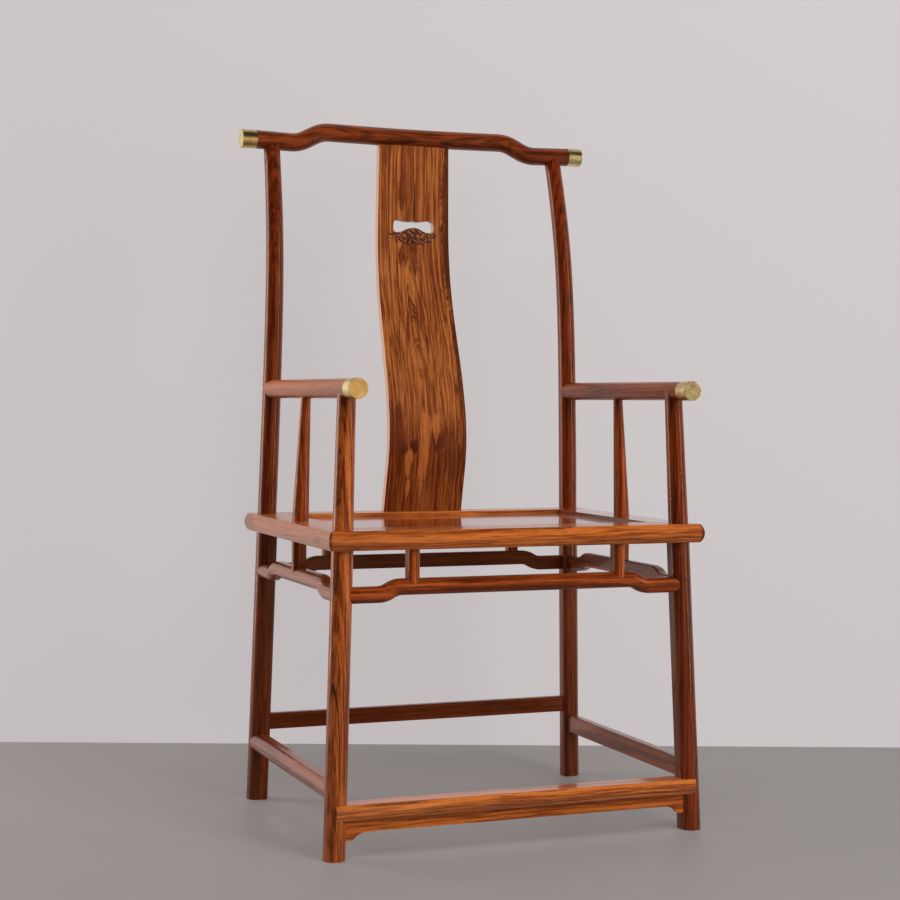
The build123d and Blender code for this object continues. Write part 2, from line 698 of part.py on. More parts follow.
for side, sx in SIDES.items():
    # The front post stops under the arm and goes on inside it as a round tenon
    top_x, top_y, _ = leg_axis(sx, -1, ARM_Z)
    post_pin = upright_pin(top_x, top_y, ARM_Z + POST_PIN[0], ARM_Z + POST_PIN[1], ROUND_TENON_R)
    front_leg = lower_legs[side, "front"] + posts[side, "front"]
    nodes[f"front_leg_{side}"] = largest(front_leg - arm_bars[side]) + post_pin
    # The rear post is coped under the crest rail and goes on inside it
    x, y, z = crest_point(sx * (LEG_X + REAR_SPLAY * (SEAT_TOP - CREST_LOW_Z)))
    pin_start = (x, y + CREST_PIN_START[0], z + CREST_PIN_START[1])
    pin_end = (x, y + CREST_PIN_END[0], z + CREST_PIN_END[1])
    crest_pin = rod_between(pin_start, pin_end, ROUND_TENON_R, ROUND_TENON_R)
    crest_pins.append(crest_pin)
    rear_leg = lower_legs[side, "rear"] + posts[side, "rear"]
    rear_leg = largest(rear_leg - crest) + crest_pin
    # The spindle under the middle of the arm
    spindle_foot = Pos(sx * SPINDLE_FOOT_X, 0, SEAT_TOP) * Circle(SPINDLE_R_SEAT)
    spindle_head = Pos(sx * ARM_X, 0, ARM_Z) * Circle(SPINDLE_R_ARM)
    spindle = largest(loft([spindle_foot.face(), spindle_head.face()], ruled=True) - arm_bars[side])
    low, high = SPINDLE_FOOT
    foot_pin = upright_pin(sx * SPINDLE_FOOT_X, 0, SEAT_TOP + low, SEAT_TOP + high, SPINDLE_FOOT_R)
    low, high = SPINDLE_HEAD
    head_pin = upright_pin(sx * ARM_X, 0, ARM_Z + low, ARM_Z + high, SPINDLE_HEAD_R)
    nodes[f"arm_spindle_{side}"] = spindle + foot_pin + head_pin
    # The arm ends in a round tenon inside the rear post and a reduced end inside its cap
    arm_pin_start = (sx * ARM_X, ARM_PIN_START, ARM_Z)
    arm_pin = rod_between(arm_pin_start, (sx * ARM_X, LEG_Y, ARM_Z), ROUND_TENON_R, ROUND_TENON_R)
    cap_seat_start = (sx * ARM_X, ARM_CAP_LONG - ARM_FRONT + LAP, ARM_Z)
    cap_seat_end = (sx * ARM_X, CAP_WALL - ARM_FRONT, ARM_Z)
    cap_seat = rod_between(cap_seat_start, cap_seat_end, ARM_CAP_R - CAP_WALL, ARM_CAP_R - CAP_WALL)
    arm = largest(arm_bars[side] - posts[side, "rear"]) + arm_pin + cap_seat
    nodes[f"arm_{side}"] = arm - post_pin - head_pin
    nodes[f"rear_leg_{side}"] = rear_leg - arm_pin
    leg_cuts[side, "front"] = []
    leg_cuts[side, "rear"] = []
    # The brass caps
    cap_place = Pos(sx * ARM_X, ARM_CAP_LONG - ARM_FRONT, ARM_Z) * Rot(90, 0, 0)
    nodes[f"arm_cap_{side}"] = cap_place * brass_cap(ARM_CAP_R, ARM_CAP_LONG)
    _, cap_y, cap_z = crest_point(CREST_HALF - CREST_CAP_LONG)
    cap_place = Pos(sx * (CREST_HALF - CREST_CAP_LONG), cap_y, cap_z) * Rot(0, sx * 90, 0)
    nodes[f"crest_cap_{side}"] = cap_place * brass_cap(CREST_CAP_R, CREST_CAP_LONG)

crest = crest - splat_board()
for pin in crest_pins:
    crest = crest - pin
nodes["crest_rail"] = largest(crest)

# Stretchers between the legs


def fit_between_legs(bar, tenons, ends):
    """Copes a bar against the legs it meets, adds its tenons and notes them for the legs."""
    for key in ends:
        bar = bar - lower_legs[key]
    bar = largest(bar)
    for tenon in tenons:
        bar = bar + tenon
    for key in ends:
        leg_cuts[key] += tenons
    return bar


fronts = [("left", "front"), ("right", "front")]
rears = [("left", "rear"), ("right", "rear")]
front_x, front_y = leg_offset(-1, HUMP_LOW_Z)
rear_x, rear_y = leg_offset(1, HUMP_LOW_Z)
side_x = (front_x + rear_x) / 2
hump_front = -front_y - HUMP_OUTSET
hump_rear = rear_y + HUMP_OUTSET
deep_x = side_x + HUMP_OUTSET
humps = {
    "front": hump_bar(front_x, HUMP_WIDE_BENDS, -1, Pos(0, hump_front, 0)),
    "rear": hump_bar(rear_x, HUMP_WIDE_BENDS, 1, Pos(0, hump_rear, 0)),
    "left": hump_bar(rear_y, HUMP_DEEP_BENDS, 1, Pos(-deep_x, 0, 0) * Rot(0, 0, 90)),
    "right": hump_bar(rear_y, HUMP_DEEP_BENDS, -1, Pos(deep_x, 0, 0) * Rot(0, 0, 90)),
}
strut_places = {
    "strut_front_left": (-STRUT_X, hump_front, (0, -1), "front"),
    "strut_front_right": (STRUT_X, hump_front, (0, -1), "front"),
    "strut_rear_left": (-STRUT_X, hump_rear, (0, 1), "rear"),
    "strut_rear_right": (STRUT_X, hump_rear, (0, 1), "rear"),
    "strut_left": (-deep_x, 0, (-1, 0), "left"),
    "strut_right": (deep_x, 0, (1, 0), "right"),
}
strut_pins = {}
for name, (x, y, outward, where) in strut_places.items():
    pin = upright_pin(x, y, HUMP_HIGH_Z + STRUT_PIN_R, SEAT_UNDER + STRUT_PIN_INTO_SEAT, STRUT_PIN_R)
    strut_pins[name] = (pin, where)
    nodes[name] = largest(strut_blank(x, y, outward) - humps[where]) + pin

wide_tenons = end_tenons("x", front_x, -front_y, HUMP_LOW_Z, HUMP_WIDE_TENON)
nodes["hump_stretcher_front"] = fit_between_legs(humps["front"], wide_tenons, fronts)
wide_tenons = end_tenons("x", rear_x, rear_y, HUMP_LOW_Z, HUMP_WIDE_TENON)
nodes["hump_stretcher_rear"] = fit_between_legs(humps["rear"], wide_tenons, rears)
deep_half = rear_y - HUMP_DEEP_TENON_SHORTER
low_rear_x, low_y = leg_offset(1, SIDE_STRETCHER_Z)
low_x = (leg_offset(-1, SIDE_STRETCHER_Z)[0] + low_rear_x) / 2
for side, sx in SIDES.items():
    ends = [(side, "front"), (side, "rear")]
    deep_tenons = end_tenons("y", deep_half, sx * side_x, HUMP_LOW_Z, HUMP_DEEP_TENON)
    nodes[f"hump_stretcher_{side}"] = fit_between_legs(humps[side], deep_tenons, ends)
    start = (sx * low_x, -low_y, SIDE_STRETCHER_Z)
    end = (sx * low_x, low_y, SIDE_STRETCHER_Z)
    bar = straight_d_bar(start, end, (sx, 0, 0), SIDE_STRETCHER_R, STRETCHER_INNER)
    tenons = end_tenons("y", low_y, sx * low_x, SIDE_STRETCHER_Z, SIDE_TENON)
    nodes[f"side_stretcher_{side}"] = fit_between_legs(bar, tenons, ends)
rear_x, rear_y = leg_offset(1, REAR_STRETCHER_Z)
start = (-rear_x, rear_y, REAR_STRETCHER_Z)
end = (rear_x, rear_y, REAR_STRETCHER_Z)
bar = straight_d_bar(start, end, (0, 1, 0), REAR_STRETCHER_R, STRETCHER_INNER)
tenons = end_tenons("x", rear_x, rear_y, REAR_STRETCHER_Z, REAR_TENON)
nodes["rear_stretcher"] = fit_between_legs(bar, tenons, rears)
foot_z = FOOT_RAIL_TOP - FOOT_RAIL_TALL / 2
foot_x, foot_y = leg_offset(-1, foot_z)
tenons = end_tenons("x", foot_x, -foot_y, foot_z, FOOT_TENON)
nodes["foot_rail"] = fit_between_legs(foot_rail_bar(), tenons, fronts)
nodes["foot_rail_apron"] = fit_between_legs(foot_rail_apron(), [], fronts)
for pin, where in strut_pins.values():
    nodes[f"hump_stretcher_{where}"] -= pin
for (side, end), tenons in leg_cuts.items():
    leg = nodes[f"{end}_leg_{side}"]
    for tenon in tenons:
        leg = leg - tenon
    nodes[f"{end}_leg_{side}"] = largest(leg)

# Seat frame, panel and battens

block = seat_block()
low_cut = SEAT_UNDER - 1
high_cut = SEAT_TOP + 1
ring = block - seat_opening(0, low_cut, high_cut)
groove = panel_groove()
front_zone = front_region()
rear_inner = SEAT_HALF_Y - REAR_RAIL_WIDE
outer_x = SEAT_HALF_X + MARGIN
outer_y = SEAT_HALF_Y + MARGIN
rear_zone = box_between((-outer_x, rear_inner, low_cut), (outer_x, outer_y, high_cut))
rails = {"front": ring & front_zone, "rear": ring & rear_zone}
for side, sx in SIDES.items():
    near, far = sorted((0, sx * outer_x))
    zone = box_between((near, -outer_y, low_cut), (far, rear_inner, high_cut))
    rails[side] = largest((ring & zone) - front_zone) - through_tenon(sx) + rear_corner_tenon(sx)
    rails["front"] += through_tenon(sx) & block
    rails["rear"] -= rear_corner_tenon(sx)
battens = {"left": seat_batten(-BATTEN_X), "right": seat_batten(BATTEN_X)}
rail_posts = {
    "front": fronts,
    "rear": rears,
    "left": [("left", "front"), ("left", "rear")],
    "right": [("right", "front"), ("right", "rear")],
}
for where, rail in rails.items():
    rail = rail - groove
    for key in rail_posts[where]:
        rail = rail - posts[key]
    for pin, pin_where in strut_pins.values():
        if pin_where == where:
            rail = rail - pin
    if where in SIDES:
        rail = rail - nodes[f"arm_spindle_{where}"]
    else:
        rail = rail - battens["left"] - battens["right"]
    if where == "rear":
        rail = rail - splat
    nodes[f"seat_rail_{where}"] = largest(rail)
nodes["seat_panel"] = seat_panel() - battens["left"] - battens["right"]
for side, batten in battens.items():
    nodes[f"seat_batten_{side}"] = batten

# Export, moved so that the whole chair's box is centred on the origin from front to back

shift_y = (ARM_FRONT - crest_body().bounding_box().max.Y) / 2
os.makedirs("parts", exist_ok=True)
for name, solid in nodes.items():
    export_step(Pos(0, shift_y, 0) * solid, f"parts/{name}.step")
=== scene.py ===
"""Official's hat armchair in streaked rosewood with brass end caps, dressed around its CAD model."""

import math

import bpy
import numpy as np
from mathutils import Matrix, Vector


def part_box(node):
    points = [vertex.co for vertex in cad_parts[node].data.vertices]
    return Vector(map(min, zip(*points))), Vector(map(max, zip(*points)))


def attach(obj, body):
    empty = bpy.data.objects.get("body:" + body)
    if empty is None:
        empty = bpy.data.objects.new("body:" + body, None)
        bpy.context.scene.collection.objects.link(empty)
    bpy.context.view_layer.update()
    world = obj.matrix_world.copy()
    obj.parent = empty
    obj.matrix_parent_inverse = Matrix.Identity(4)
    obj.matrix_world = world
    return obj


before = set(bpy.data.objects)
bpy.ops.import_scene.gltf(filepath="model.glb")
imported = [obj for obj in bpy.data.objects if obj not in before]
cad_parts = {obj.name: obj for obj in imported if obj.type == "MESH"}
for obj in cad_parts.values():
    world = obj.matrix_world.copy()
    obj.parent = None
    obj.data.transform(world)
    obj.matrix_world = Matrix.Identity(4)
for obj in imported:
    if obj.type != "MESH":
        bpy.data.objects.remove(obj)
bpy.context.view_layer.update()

# Camera. A long lens in front of the chair and to its left, level with the arms and looking a
# little down.

CAMERA_AT = Vector((-1.1474, -2.8801, 0.7008))
CAMERA_YAW = math.radians(21.271)
CAMERA_DOWN = math.radians(1.591)
CAMERA_ROLL = math.radians(0.353)
CAMERA_SENSOR = 36.0
CAMERA_LENS = 73.289

ahead = Vector(
    (
        math.sin(CAMERA_YAW) * math.cos(CAMERA_DOWN),
        math.cos(CAMERA_YAW) * math.cos(CAMERA_DOWN),
        -math.sin(CAMERA_DOWN),
    )
)
level = Vector((math.cos(CAMERA_YAW), -math.sin(CAMERA_YAW), 0))
upright = level.cross(ahead)
across = level * math.cos(CAMERA_ROLL) + upright * math.sin(CAMERA_ROLL)
upward = upright * math.cos(CAMERA_ROLL) - level * math.sin(CAMERA_ROLL)
turn = Matrix((across, upward, -ahead)).transposed().to_4x4()
camera = bpy.data.objects.new("camera", bpy.data.cameras.new("camera"))
camera.data.sensor_width = CAMERA_SENSOR
camera.data.lens = CAMERA_LENS
camera.matrix_world = Matrix.Translation(CAMERA_AT) @ turn
bpy.context.collection.objects.link(camera)
bpy.context.scene.camera = camera
bpy.context.scene.view_settings.view_transform = "Standard"

# Studio. A grey floor, and a paler wall behind the chair that glows evenly and has a front only, so
# that it never hides the chair or shades it. The key light and the one overhead shine on the wood
# unmirrored, a golden reflector is only mirrored in the lacquer, and two narrow lights do both.

FLOOR_GREY = (0.19, 0.18, 0.178)
FLOOR_GLOW = (0.105, 0.096, 0.093)
FLOOR_ROUGHNESS = 0.55
WALL_GREY = (0.16, 0.155, 0.16)
WALL_GLOW = (0.475, 0.442, 0.452)
WALL_ROUGHNESS = 0.9
WALL_DISTANCE = 3.70
STUDIO_HALF = 7.0
ROOM_COLOUR = (0.95, 0.96, 1.0, 1)
ROOM_FILL = 0.09
ROOM_MIRRORED = 0.03
# Each light: place, aim, width, height, power, colour, whether it shines on things and whether the
# lacquer mirrors it
LIGHTS = {
    "key": ((0.9, -2.85, 1.9), (0, 0, 0.7), 0.9, 1.8, 53, (1.0, 0.95, 0.88), True, False),
    "strip": ((2.1, -2.05, 1.1), (0, 0, 0.7), 0.45, 2.3, 16, (1.0, 0.95, 0.90), True, True),
    "gold reflector": ((0.42, -2.97, 0.9), (0, 0, 0.8), 1.0, 1.7, 8, (1.0, 0.62, 0.34), False, True),
    "overhead": ((-0.2, -1.3, 3.1), (0, 0, 0.5), 1.6, 1.6, 40, (1.0, 0.97, 0.93), True, False),
    "rim": ((-1.8, 1.26, 1.1), (0, 0, 0.7), 1.0, 2.1, 32, (1.0, 0.92, 0.86), True, True),
}


def studio_plane(name, corners, colour, glow, roughness):
    """A flat surface of the studio, painted one colour and glowing a little."""
    mesh = bpy.data.meshes.new(name)
    mesh.from_pydata(corners, [], [(0, 1, 2, 3)])
    plane = bpy.data.objects.new(name, mesh)
    bpy.context.collection.objects.link(plane)
    material = bpy.data.materials.new(name)
    material.use_nodes = True
    shader = material.node_tree.nodes["Principled BSDF"]
    shader.inputs["Base Color"].default_value = (*colour, 1)
    shader.inputs["Roughness"].default_value = roughness
    shader.inputs["Emission Color"].default_value = (*glow, 1)
    shader.inputs["Emission Strength"].default_value = 1.0
    mesh.materials.append(material)
    return plane


def soft_light(name, place, aim, width, height, power, colour, shines, mirrored):
    """A rectangular light turned from its place towards its aim."""
    light = bpy.data.lights.new(name, "AREA")
    light.shape = "RECTANGLE"
    light.size = width
    light.size_y = height
    light.energy = power
    light.color = colour
    lamp = bpy.data.objects.new(name, light)
    lamp.location = place
    lamp.rotation_euler = (Vector(aim) - Vector(place)).to_track_quat("-Z", "Y").to_euler()
    lamp.visible_camera = False
    lamp.visible_diffuse = shines
    lamp.visible_glossy = mirrored
    bpy.context.collection.objects.link(lamp)


def switch_shader(tree, switch, usual, other, output):
    """Shows the usual shader where the switch is 0 and the other one where it is 1."""
    either = tree.nodes.new("ShaderNodeMixShader")
    tree.links.new(switch, either.inputs["Fac"])
    tree.links.new(usual, either.inputs[1])
    tree.links.new(other, either.inputs[2])
    tree.links.new(either.outputs["Shader"], tree.nodes[output].inputs["Surface"])


floor_corners = [
    (-STUDIO_HALF, -STUDIO_HALF, 0),
    (STUDIO_HALF, -STUDIO_HALF, 0),
    (STUDIO_HALF, STUDIO_HALF, 0),
    (-STUDIO_HALF, STUDIO_HALF, 0),
]
studio_plane("floor", floor_corners, FLOOR_GREY, FLOOR_GLOW, FLOOR_ROUGHNESS)

wall_foot = CAMERA_AT + Vector((ahead.x, ahead.y, 0)) * WALL_DISTANCE
wall_foot.z = 0
wall_left = wall_foot - level * STUDIO_HALF
wall_right = wall_foot + level * STUDIO_HALF
lift = Vector((0, 0, STUDIO_HALF))
wall_corners = [wall_left, wall_right, wall_right + lift, wall_left + lift]
wall = studio_plane("wall", wall_corners, WALL_GREY, WALL_GLOW, WALL_ROUGHNESS)
wall.visible_shadow = False
wall.visible_diffuse = False
wall_tree = wall.data.materials[0].node_tree
from_behind = wall_tree.nodes.new("ShaderNodeNewGeometry").outputs["Backfacing"]
paint = wall_tree.nodes["Principled BSDF"].outputs["BSDF"]
clear = wall_tree.nodes.new("ShaderNodeBsdfTransparent").outputs["BSDF"]
switch_shader(wall_tree, from_behind, paint, clear, "Material Output")

for name, light in LIGHTS.items():
    soft_light(name, *light)

world = bpy.data.worlds.new("room")
world.use_nodes = True
room_tree = world.node_tree
in_lacquer = room_tree.nodes.new("ShaderNodeLightPath").outputs["Is Glossy Ray"]
fill = room_tree.nodes["Background"]
mirrored_fill = room_tree.nodes.new("ShaderNodeBackground")
for room_light, strength in ((fill, ROOM_FILL), (mirrored_fill, ROOM_MIRRORED)):
    room_light.inputs["Color"].default_value = ROOM_COLOUR
    room_light.inputs["Strength"].default_value = strength
switch_shader(
    room_tree, in_lacquer, fill.outputs["Background"], mirrored_fill.outputs["Background"], "World Output"
)
bpy.context.scene.world = world

# Legs. Four rosewood posts, the front ones running up to the arms and the rear ones to the crest
# rail: square towards the inside of the chair below the seat, planed round everywhere else, and
# finished with clear lacquer over the open grain.

# Each colour of timber: its dark veins, its body and its light bands
DEEP_RED = ((0.006, 0.0011, 0.0007), (0.052, 0.0058, 0.0015), (0.20, 0.028, 0.005))
WARM_RED = ((0.009, 0.0016, 0.0008), (0.095, 0.0118, 0.0025), (0.40, 0.074, 0.012))
# The front left leg's timber is brighter than the other legs': painted light where more light falls on it
FRONT_LEFT_LIT_RED = ((0.009, 0.0017, 0.0009), (0.120, 0.0175, 0.0035), (0.55, 0.132, 0.025))
# Each leg: its timber, then where the pith of its tree lay, across the grain from the leg's middle
LEGS = {
    "front_leg_left": (FRONT_LEFT_LIT_RED, (0.048, 0.055)),
    "front_leg_right": (DEEP_RED, (-0.060, 0.040)),
    "rear_leg_left": (DEEP_RED, (0.030, 0.070)),
    "rear_leg_right": (DEEP_RED, (-0.035, 0.060)),
}

# How the tree grew: the gap between two rings, how far the pith leans for each metre of timber, how
# far the rings wander and how strong the dark veins are
RING_GAP = 0.005
PITH_LEAN = (0.006, -0.008)
GRAIN_WANDER = 0.006
VEIN_STRENGTH = 0.85
# What bends the rings: the noise's squeeze along the grain, scale and detail, and its reach
WAVES = (0.16, 13.0, 3.0, 4.0)
RIPPLES = (0.30, 60.0, 2.0, 0.45)
BEND_ROUGHNESS = 0.5
# What changes from ring to ring: the noise's detail and roughness, and the part of it that shows
RING_TONES = (4.0, 0.68, 0.30, 0.70)
RING_VEINS = (4.0, 0.72, 0.55, 0.68)
VEINS_TO_RINGS = 1.3
# Each mark along the grain: the noise's squeeze along the grain, scale, detail and roughness, and
# the part of it that shows
VEIN_BREAKS = (0.08, 45.0, 3.0, 0.6, 0.40, 0.60)
STREAKS = (0.032, 260.0, 4.0, 0.68, 0.34, 0.66)
FIBRES = (0.03, 800.0, 2.0, 0.6, 0.32, 0.68)
DASHES = (0.045, 430.0, 3.0, 0.68, 0.56, 0.70)
PORES = (0.10, 2100.0, 1.0, 0.5, 0.60, 0.72)
DRIFTS = (0.30, 11.0, 2.0, 0.5, 0.32, 0.68)
# How the light and dark of the body are shared out, and the part of the sum that shows
RING_SHARE = 0.30
STREAK_SHARE = 0.34
FIBRE_SHARE = 0.20
DRIFT_SHARE = 0.16
BODY_TONES = (0.22, 0.80)
GOLD_LIGHTENS = 0.5
STAIN_AND_SHADE_DULLS = 0.8
# How dark dashes, pores and end grain are beside a vein, how far gold clears them, and how a stain, and
# the painted shade given in with it, soaks in: its least, and what light streaks add
DASH_SHADE = 0.70
PORE_SHADE = 0.50
END_SHADE = 0.42
GOLD_CLEARS = 0.7
STAIN_AND_SHADE_LEAST = 0.45
STAIN_AND_SHADE_IN_STREAKS = 0.75
# The part of a face's turn towards the grain over which end grain shows
END_FACING = (0.75, 0.97)
# Roughness of the smoothed wood, and what fibres and pores add to it
SMOOTHED = 0.28
FIBRE_ROUGHNESS = 0.10
PORE_ROUGHNESS = 0.16
# Fibres stand up less than pores and dashes sink in
FIBRE_RELIEF = 0.35
RELIEF_DEPTH = 0.00004

GRAIN_TURN = {"x": (0, math.pi / 2, 0), "y": (math.pi / 2, 0, 0), "z": (0, 0, 0)}
WOOD_SHEEN = (1.0, 0.42, 0.18, 1)
SHEEN_LEVEL = 0.8
WOOD_IOR = 1.5
COAT_ROUGHNESS = 0.08
THIN_COAT = 0.15
LEG_COAT = 0.25
HALF_COAT = 0.5
FULL_COAT = 1.0

FIGURE_INPUTS = {
    "Place": "NodeSocketVector",
    "Facing": "NodeSocketVector",
    "Pith": "NodeSocketVector",
    "Lean": "NodeSocketVector",
    "Ring gap": "NodeSocketFloat",
    "Wander": "NodeSocketFloat",
    "Veins": "NodeSocketFloat",
    "Through": "NodeSocketFloat",
    "Bulge": "NodeSocketFloat",
    "Stain and shade": "NodeSocketFloat",
    "Gold": "NodeSocketFloat",
    "Dark": "NodeSocketColor",
    "Body": "NodeSocketColor",
    "Light": "NodeSocketColor",
}
FIGURE_OUTPUTS = {
    "Colour": "NodeSocketColor",
    "Roughness": "NodeSocketFloat",
    "Height": "NodeSocketFloat",
}


class Wiring:
    """Places nodes in a tree and joins them. A value that isn't a socket is set as a constant."""

    def __init__(self, tree):
        self.tree = tree

    def join(self, source, target):
        if isinstance(source, bpy.types.NodeSocket):
            self.tree.links.new(source, target)
        else:
            target.default_value = source

    def place(self, kind, *inputs, **settings):
        made = self.tree.nodes.new(kind)
        for name, value in settings.items():
            setattr(made, name, value)
        for target, source in zip(made.inputs, inputs):
            if source is not None:
                self.join(source, target)
        return made

    def math(self, operation, *inputs):
        return self.place("ShaderNodeMath", *inputs, operation=operation).outputs[0]

    def plus(self, first, second):
        return self.math("ADD", first, second)

    def minus(self, first, second):
        return self.math("SUBTRACT", first, second)

    def times(self, first, second):
        return self.math("MULTIPLY", first, second)

    def over(self, first, second):
        return self.math("DIVIDE", first, second)

    def most(self, first, second):
        return self.math("MAXIMUM", first, second)

    def vector(self, operation, *inputs):
        made = self.place("ShaderNodeVectorMath", *inputs, operation=operation)
        return made.outputs["Value" if operation == "LENGTH" else "Vector"]

    def scaled(self, vector, amount):
        made = self.place("ShaderNodeVectorMath", vector, None, None, amount, operation="SCALE")
        return made.outputs["Vector"]

    def joined(self, x, y, z):
        return self.place("ShaderNodeCombineXYZ", x, y, z).outputs[0]

    def split(self, vector):
        return self.place("ShaderNodeSeparateXYZ", vector).outputs

    def noise(self, vector, scale, detail, roughness, out="Fac"):
        made = self.tree.nodes.new("ShaderNodeTexNoise")
        self.join(vector, made.inputs["Vector"])
        self.join(scale, made.inputs["Scale"])
        made.inputs["Detail"].default_value = detail
        made.inputs["Roughness"].default_value = roughness
        return made.outputs[out]

    def line_noise(self, along, detail, roughness):
        made = self.tree.nodes.new("ShaderNodeTexNoise")
        made.noise_dimensions = "1D"
        self.join(along, made.inputs["W"])
        made.inputs["Scale"].default_value = 1.0
        made.inputs["Detail"].default_value = detail
        made.inputs["Roughness"].default_value = roughness
        return made.outputs["Fac"]

    def span(self, value, low, high, to_low=0.0, to_high=1.0):
        made = self.place("ShaderNodeMapRange", value, low, high, to_low, to_high)
        made.interpolation_type = "SMOOTHSTEP"
        return made.outputs[0]

    def blend(self, amount, first, second):
        made = self.tree.nodes.new("ShaderNodeMix")
        made.data_type = "RGBA"
        self.join(amount, made.inputs[0])
        self.join(first, made.inputs[6])
        self.join(second, made.inputs[7])
        return made.outputs[2]

    def mask(self, name):
        made = self.tree.nodes.new("ShaderNodeAttribute")
        made.attribute_name = name
        return made.outputs["Fac"]


def bend(w, given, kind):
    """How far the rings are pushed aside, evenly to all sides."""
    squeeze, scale, detail, reach = kind
    along_grain = w.vector("MULTIPLY", given["Place"], (1, 1, squeeze))
    push = w.noise(along_grain, scale, detail, BEND_ROUGHNESS, "Color")
    push = w.vector("SUBTRACT", push, (0.5, 0.5, 0.5))
    return w.scaled(push, w.times(given["Wander"], reach))


def ring_number(w, given):
    """Which ring a point lies in, counted from the pith, which leans along the piece."""
    thin = w.joined(1.0, w.math("SQRT", given["Through"]), 1.0)
    from_pith = w.vector("MULTIPLY", w.vector("SUBTRACT", given["Place"], given["Pith"]), thin)
    leaning = w.scaled(given["Lean"], w.split(from_pith)["Z"])
    straight = w.vector("ADD", w.vector("MULTIPLY", from_pith, (1, 1, 0)), leaning)
    bends = w.vector("ADD", bend(w, given, WAVES), bend(w, given, RIPPLES))
    bends = w.vector("MULTIPLY", bends, (1, 1, 0))
    radius = w.vector("LENGTH", w.vector("ADD", straight, bends))
    return w.over(w.plus(radius, given["Bulge"]), given["Ring gap"])


def ring_mark(w, rings, kind):
    """Something that changes from ring to ring, from 0 to 1."""
    detail, roughness, low, high = kind
    return w.span(w.line_noise(rings, detail, roughness), low, high)


def grain_mark(w, place, kind):
    """One kind of mark drawn out along the grain, from 0 to 1."""
    squeeze, scale, detail, roughness, low, high = kind
    along_grain = w.vector("MULTIPLY", place, (1, 1, squeeze))
    return w.span(w.noise(along_grain, scale, detail, roughness), low, high)


def rosewood_figure():
    """Rings, veins, fibres and pores of a timber whose grain runs along Z, in metres."""
    group = bpy.data.node_groups.new("rosewood figure", "ShaderNodeTree")
    for name, kind in FIGURE_INPUTS.items():
        group.interface.new_socket(name, in_out="INPUT", socket_type=kind)
    for name, kind in FIGURE_OUTPUTS.items():
        group.interface.new_socket(name, in_out="OUTPUT", socket_type=kind)
    w = Wiring(group)
    given = group.nodes.new("NodeGroupInput").outputs
    rings = ring_number(w, given)

    # Where a board is sawn to a curve, its fibres are followed along its faces
    faces = w.vector("MULTIPLY", given["Place"], w.joined(1.0, given["Through"], 1.0))
    streak = grain_mark(w, faces, STREAKS)
    fibre = grain_mark(w, faces, FIBRES)
    dash = grain_mark(w, faces, DASHES)
    pore = grain_mark(w, faces, PORES)
    drift = grain_mark(w, given["Place"], DRIFTS)

    # The body of the wood, from dark to light
    tone = w.times(ring_mark(w, rings, RING_TONES), RING_SHARE)
    tone = w.plus(tone, w.times(streak, STREAK_SHARE))
    tone = w.plus(tone, w.times(fibre, FIBRE_SHARE))
    tone = w.plus(tone, w.times(drift, DRIFT_SHARE))
    tone = w.plus(w.span(tone, *BODY_TONES), w.times(given["Gold"], GOLD_LIGHTENS))
    # Stains and painted shade, which come in together, dull and darken the body
    tone = w.minus(tone, w.times(given["Stain and shade"], STAIN_AND_SHADE_DULLS))
    colour = w.blend(tone, given["Body"], given["Light"])

    # Mineral veins that come and go along the grain, dashes and pores, none of them in gold wood
    vein = ring_mark(w, w.times(rings, VEINS_TO_RINGS), RING_VEINS)
    vein = w.times(w.times(vein, grain_mark(w, faces, VEIN_BREAKS)), given["Veins"])
    shade = w.most(vein, w.times(dash, DASH_SHADE))
    shade = w.most(shade, w.times(pore, PORE_SHADE))
    shade = w.times(shade, w.minus(1.0, w.times(given["Gold"], GOLD_CLEARS)))
    # Stains and painted shade, and end grain, which drinks the finish and shows darker
    stain_and_shade_strength = w.plus(STAIN_AND_SHADE_LEAST, w.times(streak, STAIN_AND_SHADE_IN_STREAKS))
    shade = w.most(shade, w.times(given["Stain and shade"], stain_and_shade_strength))
    end_grain = w.span(w.math("ABSOLUTE", w.split(given["Facing"])["Z"]), *END_FACING)
    shade = w.most(shade, w.times(end_grain, END_SHADE))
    colour = w.blend(shade, colour, given["Dark"])

    roughness = w.plus(SMOOTHED, w.times(fibre, FIBRE_ROUGHNESS))
    roughness = w.plus(roughness, w.times(w.most(pore, dash), PORE_ROUGHNESS))
    relief = w.minus(w.times(fibre, FIBRE_RELIEF), w.plus(pore, dash))
    result = group.nodes.new("NodeGroupOutput").inputs
    w.join(colour, result["Colour"])
    w.join(roughness, result["Roughness"])
    w.join(relief, result["Height"])
    return group


FIGURE = rosewood_figure()


def grain_frame(grain, point):
    """A point of the chair in the turned frame where the grain runs along Z."""
    x, y, z = point
    return {"x": (z, y, -x), "y": (x, -z, y), "z": (x, y, z)}[grain]


